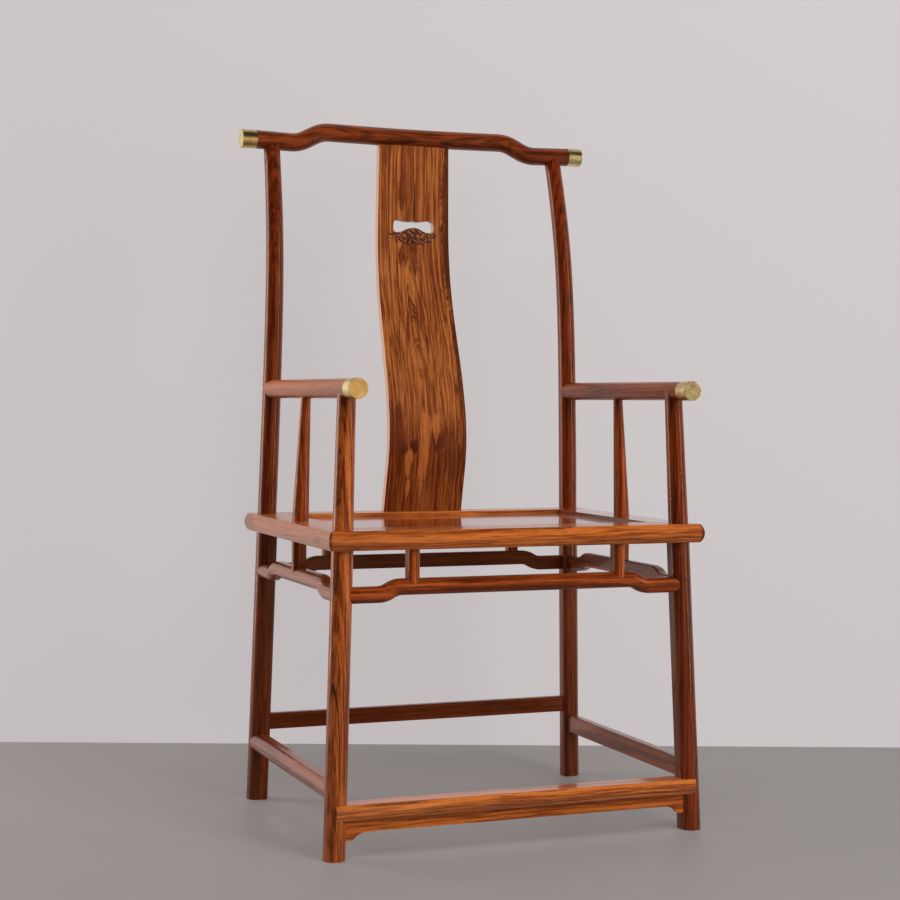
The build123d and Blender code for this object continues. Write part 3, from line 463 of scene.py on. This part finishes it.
def rosewood(node, grain, timber, pith, ring_gap=RING_GAP, lean=PITH_LEAN, coat=THIN_COAT, through=1.0):
    """The wood of one piece. pith is measured across the grain from the piece's middle, and through
    says how much of the figure changes through the thickness of a board."""
    material = bpy.data.materials.new(f"rosewood {node}")
    material.use_nodes = True
    tree = material.node_tree
    shader = tree.nodes["Principled BSDF"]
    w = Wiring(tree)
    given = w.place("ShaderNodeTexCoord").outputs
    turned = w.place("ShaderNodeMapping", given["Object"], None, GRAIN_TURN[grain]).outputs[0]
    facing = w.place("ShaderNodeMapping", given["Normal"], None, GRAIN_TURN[grain]).outputs[0]
    low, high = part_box(node)
    middle = grain_frame(grain, [(a + b) / 2 for a, b in zip(low, high)])
    figure = tree.nodes.new("ShaderNodeGroup")
    figure.node_tree = FIGURE
    figure.name = "figure"
    dark, body, light = timber
    values = {
        "Place": turned,
        "Facing": facing,
        "Pith": (middle[0] + pith[0], middle[1] + pith[1], middle[2]),
        "Lean": (*lean, 0),
        "Ring gap": ring_gap,
        "Wander": GRAIN_WANDER,
        "Veins": VEIN_STRENGTH,
        "Through": through,
        "Dark": (*dark, 1),
        "Body": (*body, 1),
        "Light": (*light, 1),
    }
    for label, value in values.items():
        w.join(value, figure.inputs[label])
    w.join(figure.outputs["Colour"], shader.inputs["Base Color"])
    w.join(figure.outputs["Roughness"], shader.inputs["Roughness"])
    bump = tree.nodes.new("ShaderNodeBump")
    bump.inputs["Distance"].default_value = RELIEF_DEPTH
    w.join(figure.outputs["Height"], bump.inputs["Height"])
    w.join(bump.outputs["Normal"], shader.inputs["Normal"])
    shader.inputs["IOR"].default_value = WOOD_IOR
    shader.inputs["Specular Tint"].default_value = WOOD_SHEEN
    shader.inputs["Specular IOR Level"].default_value = SHEEN_LEVEL
    shader.inputs["Coat Weight"].default_value = coat
    shader.inputs["Coat Roughness"].default_value = COAT_ROUGHNESS
    return material


def dress(node, material):
    """Gives a carried-over piece its material."""
    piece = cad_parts[node]
    piece.data.materials.clear()
    piece.data.materials.append(material)


def dress_in_rosewood(node, grain, timber, pith, **finish):
    """Gives a carried-over piece rosewood of its own, cut with its grain along one axis."""
    dress(node, rosewood(node, grain, timber, pith, **finish))


for leg, (timber, pith) in LEGS.items():
    dress_in_rosewood(leg, "z", timber, pith, coat=LEG_COAT)

# Arms and their spindles. Straight round bars let into the rear posts and resting on the front
# ones, each carried in its middle by a tapered spindle.

# The left arm's timber is paler than the right one's: painted light and reflection from the bright left
# side
ARM_LEFT_LIT_RED = ((0.06, 0.012, 0.004), (0.34, 0.078, 0.015), (0.52, 0.15, 0.032))
ARMS = {"arm_left": (ARM_LEFT_LIT_RED, (0.04, 0.05)), "arm_right": (WARM_RED, (-0.05, 0.04))}
ARM_COAT = 0.10
SPINDLES = {"arm_spindle_left": (0.05, 0.03), "arm_spindle_right": (-0.03, 0.05)}
CLOSE_RINGS = 0.004

for arm, (timber, pith) in ARMS.items():
    dress_in_rosewood(arm, "y", timber, pith, coat=ARM_COAT)
for spindle, pith in SPINDLES.items():
    dress_in_rosewood(spindle, "z", WARM_RED, pith, ring_gap=CLOSE_RINGS, coat=LEG_COAT)

# Crest rail. One yoke-shaped bar sawn from a plank so that its grain runs from end to end. It is
# morticed onto the rear posts and takes the top of the splat.

CREST_TIMBER = ((0.007, 0.0013, 0.0008), (0.056, 0.0075, 0.0020), (0.23, 0.040, 0.008))
CREST_PITH = (0.03, 0.06)
CREST_RINGS = 0.006

dress_in_rosewood("crest_rail", "x", CREST_TIMBER, CREST_PITH, ring_gap=CREST_RINGS)

# Back splat. One S-curved board, pierced below its head, its figure running up in tall arches
# with golden tongues and two small knots low down and a fine check above the opening.

SPLAT_TIMBER = ((0.020, 0.0035, 0.0016), (0.120, 0.020, 0.006), (0.48, 0.155, 0.038))
SPLAT_PITH = (-0.008, -0.050)
SPLAT_RINGS = 0.0042
SPLAT_LEAN = (0.02, 0.0)
SPLAT_THROUGH = 0.12
# Each patch: where its middle is across and up the board, its half width and half height, strength
SPLAT_STAINS = (
    ((-0.020, 0.958), (0.012, 0.018), 0.55),
    ((-0.008, 0.972), (0.013, 0.020), 0.45),
    ((-0.003, 0.945), (0.007, 0.022), 0.40),
    ((-0.023, 1.078), (0.009, 0.024), 0.45),
    ((-0.026, 0.616), (0.0085, 0.012), 1.0),
    ((-0.046, 0.611), (0.0080, 0.009), 0.9),
    ((0.0175, 0.6245), (0.0085, 0.017), 0.95),
    ((0.040, 0.628), (0.020, 0.020), 0.5),
    # The next two tall patches darken the right edge with painted shade
    ((0.071, 1.040), (0.015, 0.200), 0.85),
    ((0.073, 0.800), (0.010, 0.300), 0.60),
    ((-0.060, 0.640), (0.016, 0.050), 0.5),
    ((0.050, 0.600), (0.022, 0.045), 0.5),
)
SPLAT_CHECK = (((0.0015, 1.052), (0.0017, 0.040), 1.0),)
SPLAT_TONGUES = (
    ((-0.0055, 0.634), (0.0100, 0.043), 1.0),
    ((-0.0080, 0.588), (0.0082, 0.054), 1.0),
    ((0.0150, 0.646), (0.0058, 0.025), 1.0),
    ((-0.0360, 0.587), (0.0066, 0.024), 1.0),
    ((-0.0336, 0.541), (0.0040, 0.016), 0.9),
)
# The edge of each kind of patch: how ragged, how soft, and how much it narrows downwards
STAIN_EDGE = (4.0, 0.50, 0.0)
CHECK_EDGE = (1.0, 0.50, -0.6)
TONGUE_EDGE = (2.0, 0.20, 0.45)
NARROWEST = 0.3
# What frays those edges: the noise's squeeze in depth and along the grain, scale, detail, share
COARSE_FRAY = ((1, 0.3, 0.25), 110.0, 4.0, 0.6)
FINE_FRAY = ((1, 0.3, 0.30), 420.0, 3.0, 0.4)
FRAY_ROUGHNESS = 0.6
# Painted shade: the board darkens towards its foot and on faces that look down: from, to, and the shade
# at each
SPLAT_FOOT_SHADE = (0.69, 0.61, 0.0, 0.27)
UNDERSIDE_SHADE = (-0.4, -0.8, 0.0, 0.9)
GOLD_CLEARS_STAIN_AND_SHADE = 0.8
# The rings part round a tongue and close up round a knot by this much
KNOT_BULGE = 0.004
# The narrow faces, told by how far they are turned sideways, are lacquered more thickly than the broad
# ones, and the left one gets a pale painted reflection
SIDE_FACES = (0.5, 0.9)
SIDE_COAT = 1.0
LEFT_FACE = (-0.6, -0.95)
LEFT_FACE_PAINTED_REFLECTION = (0.76, 0.43, 0.28, 1)


def fraying(w, place, kind):
    """How far the fibres carry the edge of a patch out, with one size of splinter."""
    squeeze, scale, detail, share = kind
    torn = w.noise(w.vector("MULTIPLY", place, squeeze), scale, detail, FRAY_ROUGHNESS)
    return w.times(torn, share)


def patches(w, given, spots, ragged, edge, taper):
    """The strongest of several ovals at one place of the board, from 0 to 1."""
    place = w.split(given["Object"])
    torn = w.plus(fraying(w, given["Object"], COARSE_FRAY), fraying(w, given["Object"], FINE_FRAY))
    torn = w.times(w.minus(torn, 0.5), ragged)
    total = 0.0
    for (across_board, up_board), (half_wide, half_tall), strength in spots:
        x = w.over(w.minus(place["X"], across_board), half_wide)
        z = w.over(w.minus(place["Z"], up_board), half_tall)
        x = w.over(x, w.most(w.plus(w.times(z, taper), 1.0), NARROWEST))
        reach = w.math("SQRT", w.plus(w.times(x, x), w.times(z, z)))
        spot = w.span(w.plus(reach, torn), 1.0 + edge, 1.0 - edge, 0.0, strength)
        total = w.most(total, spot)
    return total


def splat_wood(name, face_coat, hollows=None):
    """The splat's own wood, also for what is carved from it, with painted shade in its hollows, towards
    its foot and on faces that look down, and a pale painted reflection on its left face.
    """
    material = rosewood(
        "back_splat", "z", SPLAT_TIMBER, SPLAT_PITH, SPLAT_RINGS, SPLAT_LEAN, through=SPLAT_THROUGH
    )
    material.name = name
    tree = material.node_tree
    w = Wiring(tree)
    given = w.place("ShaderNodeTexCoord").outputs
    normal = w.split(given["Normal"])
    gold = patches(w, given, SPLAT_TONGUES, *TONGUE_EDGE)
    # Painted shade towards the foot and on faces that look down, joined with the real stains and the
    # check
    foot = w.span(w.split(given["Object"])["Z"], *SPLAT_FOOT_SHADE)
    stain_and_shade = w.most(patches(w, given, SPLAT_STAINS, *STAIN_EDGE), foot)
    stain_and_shade = w.most(stain_and_shade, patches(w, given, SPLAT_CHECK, *CHECK_EDGE))
    stain_and_shade = w.most(stain_and_shade, w.span(normal["Z"], *UNDERSIDE_SHADE))
    stain_and_shade = w.times(stain_and_shade, w.minus(1.0, w.times(gold, GOLD_CLEARS_STAIN_AND_SHADE)))
    # Painted shade in the carving's hollows
    if hollows:
        stain_and_shade = w.most(stain_and_shade, w.mask(hollows))
    figure = tree.nodes["figure"]
    w.join(gold, figure.inputs["Gold"])
    w.join(stain_and_shade, figure.inputs["Stain and shade"])
    w.join(w.times(w.minus(gold, stain_and_shade), KNOT_BULGE), figure.inputs["Bulge"])
    shader = tree.nodes["Principled BSDF"]
    coat = w.span(w.math("ABSOLUTE", normal["X"]), *SIDE_FACES, face_coat, SIDE_COAT)
    w.join(coat, shader.inputs["Coat Weight"])
    # Painted reflection: the left face is blended towards a pale colour
    pale = w.span(normal["X"], *LEFT_FACE)
    w.join(w.blend(pale, figure.outputs["Colour"], LEFT_FACE_PAINTED_REFLECTION), shader.inputs["Base Color"])
    return material


dress("back_splat", splat_wood("rosewood back_splat", THIN_COAT))

# Carving. Scrolls cut with gouges from the thickness of the splat under its opening, standing a little
# proud of the board, their hollows darkened with painted shade and their crowns lit with painted
# highlights.

CARVING_HALF = 0.050
CARVING_FOOT = 0.979
CARVING_COLUMNS = 221
CARVING_ROWS = 81
CARVING_ROOT = 0.003
CARVING_SEED = 7
OPENING_MIDDLE = 1.016
OPENING_STEP = 0.00025
# Beside the opening the carving ends on a line falling outwards
SHOULDER = (0.0389, 1.006)
SHOULDER_FALL = 0.7
# The plain board is felt at several levels beside the carving
BOARD_BESIDE = 0.060
BOARD_LOW = CARVING_FOOT - 0.001
BOARD_HIGH = 1.03
BOARD_LEVELS = 60
# Each scroll of the right half, twins on the left: across, up, radius
SCROLLS = (
    (0.0, 1.0060, 0.0052),
    (0.0102, 1.0040, 0.0050),
    (0.0192, 1.0000, 0.0046),
    (0.0275, 0.9978, 0.0044),
    (0.0355, 0.9975, 0.0042),
    (0.0430, 1.0005, 0.0038),
    (0.0052, 0.9970, 0.0049),
    (0.0150, 0.9940, 0.0047),
    (0.0240, 0.9902, 0.0042),
    (0.0325, 0.9898, 0.0036),
    (0.0, 0.9885, 0.0047),
    (0.0095, 0.9862, 0.0043),
    (0.0176, 0.9855, 0.0037),
)
SCROLL_TURNS = 1.3
SCROLL_SHIFT = 0.0008
SCROLL_PROUD = 0.0034
# A scroll is a full dome, and its winding ridge makes up this share of its height
DOME_FULLNESS = 0.6
RIDGE_SHARE = 0.40
BED_PROUD = 0.0002
BED_SUNK = 0.0014
# The bed ends this far outside the scrolls, in radii, over a soft edge
BED_REACH = 1.12
BED_EDGE = 0.0007
# The gouge wanders a little about each scroll
GOUGE_WANDER = 0.0011
GOUGE_STEP = 0.00085
# The hollows get painted shade: how much a groove counts as far from its scroll, where the shade begins,
# how fast it deepens, and its most
GROOVE_DEPTH = 0.65
HOLLOW_SHADE_FROM = 0.74
HOLLOW_SHADE_OVER = 0.25
HOLLOW_SHADE_MOST = 1.5
# The crowns of the scrolls get a pale painted highlight, some more than others
HIGHLIGHT_TO = 0.75
HIGHLIGHT_OVER = 0.45
HIGHLIGHT_LEAST = 0.3
HIGHLIGHT_MOST = 1.0
CROWN_HIGHLIGHT_PINK = (0.74, 0.37, 0.27, 1)

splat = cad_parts["back_splat"]


def splat_face(x, z):
    """How far back a level line from the front first meets the splat, or None in its opening."""
    hit, place, _, _ = splat.ray_cast(Vector((x, 0, z)), Vector((0, 1, 0)))
    return place.y if hit else None


def carving_top(x):
    """Height of the opening's lower edge, or of the carving's own end beside the opening."""
    z = OPENING_MIDDLE
    if splat_face(x, z) is not None:
        return SHOULDER[1] - (abs(x) - SHOULDER[0]) * SHOULDER_FALL
    while splat_face(x, z) is None:
        z -= OPENING_STEP
    return z - OPENING_STEP


def carve_scrolls(x, z, chance):
    """How proud each point of the carving stands, how much painted shade it gets and how much painted
    highlight.
    """
    inside = np.full(x.shape, -1.0)
    proud = np.zeros(x.shape)
    nearest = np.full(x.shape, 2.0)
    crown_highlight = np.zeros(x.shape)
    bent_x = x + GOUGE_WANDER * np.sin(z / GOUGE_STEP)
    bent_z = z + GOUGE_WANDER * np.sin(x / GOUGE_STEP)
    for across_board, up_board, radius in SCROLLS:
        for mirror in (-1, 1) if across_board else (1,):
            middle_x = mirror * across_board + chance.normal(0, SCROLL_SHIFT)
            middle_z = up_board + chance.normal(0, SCROLL_SHIFT)
            start = chance.uniform(0, 2 * math.pi)
            highlight_share = chance.uniform(HIGHLIGHT_LEAST, HIGHLIGHT_MOST)
            reach = np.hypot(bent_x - middle_x, bent_z - middle_z) / radius
            angle = np.arctan2(bent_z - middle_z, (bent_x - middle_x) * mirror)
            ridge = 0.5 + 0.5 * np.cos(angle + start + 2 * math.pi * SCROLL_TURNS * reach)
            dome = np.sqrt(np.clip(1 - reach ** 2, 0, 1)) ** DOME_FULLNESS
            proud = np.maximum(proud, dome * (1 - RIDGE_SHARE + RIDGE_SHARE * ridge))
            away = reach + GROOVE_DEPTH * (1 - ridge)
            nearest = np.minimum(nearest, away)
            # Painted highlight on the crowns, some lit more than others
            crown_highlight = np.maximum(crown_highlight, np.clip((HIGHLIGHT_TO - away) / HIGHLIGHT_OVER, 0, 1) * highlight_share)
            inside = np.maximum(inside, (BED_REACH - reach) * radius)
    bed = np.clip(inside / BED_EDGE, 0, 1)
    bed = bed * bed * (3 - 2 * bed)
    relief = bed * (BED_PROUD + SCROLL_PROUD * proud) - (1 - bed) * BED_SUNK
    # Painted shade in the grooves away from the crowns
    hollow_shade = np.clip((nearest - HOLLOW_SHADE_FROM) / HOLLOW_SHADE_OVER, 0, HOLLOW_SHADE_MOST)
    return relief, hollow_shade, crown_highlight


def carving_faces():
    """The front sheet, the back one behind it, and the rim that closes them, by point number."""
    count = CARVING_COLUMNS * CARVING_ROWS
    rows = np.arange(count).reshape(CARVING_ROWS, CARVING_COLUMNS).tolist()
    faces = []
    for lower, upper in zip(rows, rows[1:]):
        for a, b, c, d in zip(lower, lower[1:], upper[1:], upper):
            faces.append((a, b, c, d))
            faces.append((count + a, count + d, count + c, count + b))
    right_end = [row[-1] for row in rows[1:]]
    left_end = [row[0] for row in rows[-2:0:-1]]
    rim = rows[0] + right_end + rows[-1][-2::-1] + left_end
    for here, there in zip(rim, rim[1:] + rim[:1]):
        faces.append((here, count + here, count + there, there))
    return faces


def carving_mesh():
    """A closed relief whose front is cut in scrolls and whose back lies inside the board."""
    columns = np.linspace(-CARVING_HALF, CARVING_HALF, CARVING_COLUMNS)
    tops = np.array([carving_top(x) for x in columns])
    up = np.linspace(0, 1, CARVING_ROWS)[:, None]
    z = CARVING_FOOT + (tops[None, :] - CARVING_FOOT) * up
    x = np.repeat(columns[None, :], CARVING_ROWS, axis=0)
    levels = np.linspace(BOARD_LOW, BOARD_HIGH, BOARD_LEVELS)
    board = np.interp(z, levels, [splat_face(BOARD_BESIDE, level_z) for level_z in levels])
    relief, hollow_shade, crown_highlight = carve_scrolls(x, z, np.random.default_rng(CARVING_SEED))
    front = np.stack([x, board - relief, z], axis=-1).reshape(-1, 3)
    back = np.stack([x, board + CARVING_ROOT, z], axis=-1).reshape(-1, 3)
    mesh = bpy.data.meshes.new("splat_carving")
    mesh.from_pydata(np.concatenate([front, back]).tolist(), [], carving_faces())
    mesh.update()
    for name, mask in (("hollow_shade", hollow_shade), ("crown_highlight", crown_highlight)):
        layer = mesh.attributes.new(name, "FLOAT", "POINT")
        layer.data.foreach_set("value", np.tile(mask.reshape(-1), 2).astype(np.float32))
    mesh.polygons.foreach_set("use_smooth", [True] * len(mesh.polygons))
    return mesh


def carving_wood():
    """The splat's wood with painted shade in the hollows and pale painted highlights on the crowns."""
    material = splat_wood("rosewood splat_carving", HALF_COAT, "hollow_shade")
    w = Wiring(material.node_tree)
    colour = material.node_tree.nodes["Principled BSDF"].inputs["Base Color"]
    # Painted highlight: the crowns are blended towards pale pink
    w.join(w.blend(w.mask("crown_highlight"), colour.links[0].from_socket, CROWN_HIGHLIGHT_PINK), colour)
    return material


carving = bpy.data.objects.new("splat_carving", carving_mesh())
bpy.context.collection.objects.link(carving)
carving.data.materials.append(carving_wood())
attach(carving, "root")

# Seat frame. Four rails: the front one mitred to the side ones and tenoned right through them,
# the rear one running across behind the side rails and showing its end grain.

GOLDEN = ((0.024, 0.005, 0.0018), (0.20, 0.034, 0.0055), (0.61, 0.158, 0.024))
LIGHT_GOLD = ((0.035, 0.008, 0.003), (0.27, 0.058, 0.012), (0.70, 0.22, 0.045))
# The left rail's timber is paler than the others': painted light and reflection from the bright left side
PALE_LIT_SIDE = ((0.07, 0.014, 0.003), (0.36, 0.085, 0.018), (0.58, 0.17, 0.038))
FRONT_RAIL_PITH = (-0.07, 0.02)
FRONT_RAIL_RINGS = 0.007
FRONT_RAIL_COAT = 0.55
# Painted shade darkens the front rail towards its ends (from, to, and the shade at each), but not on the
# flat ends of its tenons, which show by how far a face is turned along the rail
RAIL_END_SHADE = (0.312, 0.319, 0.0, 0.9)
NOT_TENON_END = (0.98, 0.90)
# Each other rail: the way its grain runs, its timber, pith and coat
SEAT_RAILS = {
    "seat_rail_rear": ("x", LIGHT_GOLD, (-0.06, -0.03), HALF_COAT),
    "seat_rail_left": ("y", PALE_LIT_SIDE, (-0.05, 0.04), HALF_COAT),
    "seat_rail_right": ("y", WARM_RED, (0.05, 0.04), FULL_COAT),
}


def front_rail_wood():
    """The golden wood of the front rail, with painted shade on the rounds of its ends."""
    material = rosewood(
        "seat_rail_front", "x", GOLDEN, FRONT_RAIL_PITH, FRONT_RAIL_RINGS, coat=FRONT_RAIL_COAT
    )
    w = Wiring(material.node_tree)
    given = w.place("ShaderNodeTexCoord").outputs
    out_along_rail = w.math("ABSOLUTE", w.split(given["Object"])["X"])
    facing_out = w.math("ABSOLUTE", w.split(given["Normal"])["X"])
    # Painted shade at the rail's rounded ends
    stain_and_shade = w.times(w.span(out_along_rail, *RAIL_END_SHADE), w.span(facing_out, *NOT_TENON_END))
    w.join(stain_and_shade, material.node_tree.nodes["figure"].inputs["Stain and shade"])
    return material


dress("seat_rail_front", front_rail_wood())
for rail, (grain, timber, pith, coat) in SEAT_RAILS.items():
    dress_in_rosewood(rail, grain, timber, pith, coat=coat)

# Seat panel. One floating board tongued into the frame, polished like a mirror, over two
# dovetailed battens.

PANEL_TIMBER = ((0.012, 0.002, 0.001), (0.15, 0.018, 0.004), (0.50, 0.10, 0.017))
PANEL_PITH = (-0.15, 0.0)
PANEL_RINGS = 0.010
BATTEN_PITH = (0.05, 0.03)

dress_in_rosewood("seat_panel", "x", PANEL_TIMBER, PANEL_PITH, ring_gap=PANEL_RINGS, coat=FULL_COAT)
for side in ("left", "right"):
    dress_in_rosewood(f"seat_batten_{side}", "y", DEEP_RED, BATTEN_PITH)

# Humpback stretchers. One between each pair of legs, raised in the middle, with short struts up
# to the seat frame.

# The first timber here, for the left stretcher, is paler than the right one's: painted light from the
# bright left side
HUMP_LEFT_LIT_RED = ((0.03, 0.006, 0.002), (0.22, 0.042, 0.009), (0.46, 0.12, 0.022))
STRUT_RED = ((0.012, 0.0025, 0.001), (0.17, 0.027, 0.005), (0.62, 0.135, 0.020))
# Each stretcher: the way its grain runs, its timber, pith and coat
HUMPS = {
    "hump_stretcher_front": ("x", WARM_RED, (0.05, 0.04), THIN_COAT),
    "hump_stretcher_rear": ("x", DEEP_RED, (0.05, 0.04), THIN_COAT),
    "hump_stretcher_left": ("y", HUMP_LEFT_LIT_RED, (0.04, 0.05), 0.6),
    "hump_stretcher_right": ("y", WARM_RED, (0.04, 0.05), 0.4),
}
STRUTS = {"strut_front": STRUT_RED, "strut_rear": WARM_RED, "strut": WARM_RED}
STRUT_PITH = (0.03, 0.04)

for hump, (grain, timber, pith, coat) in HUMPS.items():
    dress_in_rosewood(hump, grain, timber, pith, coat=coat)
for strut, timber in STRUTS.items():
    for side in ("left", "right"):
        dress_in_rosewood(f"{strut}_{side}", "z", timber, STRUT_PITH, ring_gap=CLOSE_RINGS)

# Lower stretchers. The rear one highest, the side ones lower, and the foot rail lowest in front
# with a narrow apron below it.

FOOT_GOLD = ((0.028, 0.006, 0.002), (0.23, 0.042, 0.008), (0.66, 0.185, 0.033))
FOOT_RAIL_PITH = (-0.06, 0.03)
FOOT_RAIL_RINGS = 0.006
FOOT_RAIL_COAT = 0.8
# Each other piece: the way its grain runs, its timber, pith and coat
STRETCHERS = {
    "side_stretcher_left": ("y", WARM_RED, (0.05, 0.04), 0.7),
    "side_stretcher_right": ("y", WARM_RED, (0.05, 0.04), 0.7),
    "rear_stretcher": ("x", DEEP_RED, (0.05, -0.04), THIN_COAT),
    "foot_rail_apron": ("x", GOLDEN, (0.04, 0.05), THIN_COAT),
}

for stretcher, (grain, timber, pith, coat) in STRETCHERS.items():
    dress_in_rosewood(stretcher, grain, timber, pith, coat=coat)
dress_in_rosewood(
    "foot_rail", "x", FOOT_GOLD, FOOT_RAIL_PITH, ring_gap=FOOT_RAIL_RINGS, coat=FOOT_RAIL_COAT
)

# Brass caps. Spun cups pushed over the reduced ends of the crest rail and the arms, polished by
# turning and gone a little dull where hands don't reach.

BRASS_BRIGHT = (0.78, 0.67, 0.34, 1)
BRASS_DULL = (0.62, 0.51, 0.23, 1)
# Clouds of polish and of wear: the noise's scale and detail, and the part of it that shows
POLISH = (60.0, 4.0, 0.35, 0.70)
WEAR = (90.0, 3.0, 0.30, 0.70)
CLOUD_ROUGHNESS = 0.6
BRASS_ROUGHNESS = (0.30, 0.38)


def cloud(w, place, kind, *result):
    """A cloudy change over the metal, from 0 to 1 or over the range that result gives."""
    scale, detail, low, high = kind
    return w.span(w.noise(place, scale, detail, CLOUD_ROUGHNESS), low, high, *result)


def brass():
    material = bpy.data.materials.new("brass")
    material.use_nodes = True
    tree = material.node_tree
    shader = tree.nodes["Principled BSDF"]
    w = Wiring(tree)
    place = w.place("ShaderNodeTexCoord").outputs["Object"]
    w.join(w.blend(cloud(w, place, POLISH), BRASS_DULL, BRASS_BRIGHT), shader.inputs["Base Color"])
    w.join(cloud(w, place, WEAR, *BRASS_ROUGHNESS), shader.inputs["Roughness"])
    shader.inputs["Metallic"].default_value = 1.0
    return material


BRASS = brass()
for side in ("left", "right"):
    dress(f"crest_cap_{side}", BRASS)
    dress(f"arm_cap_{side}", BRASS)
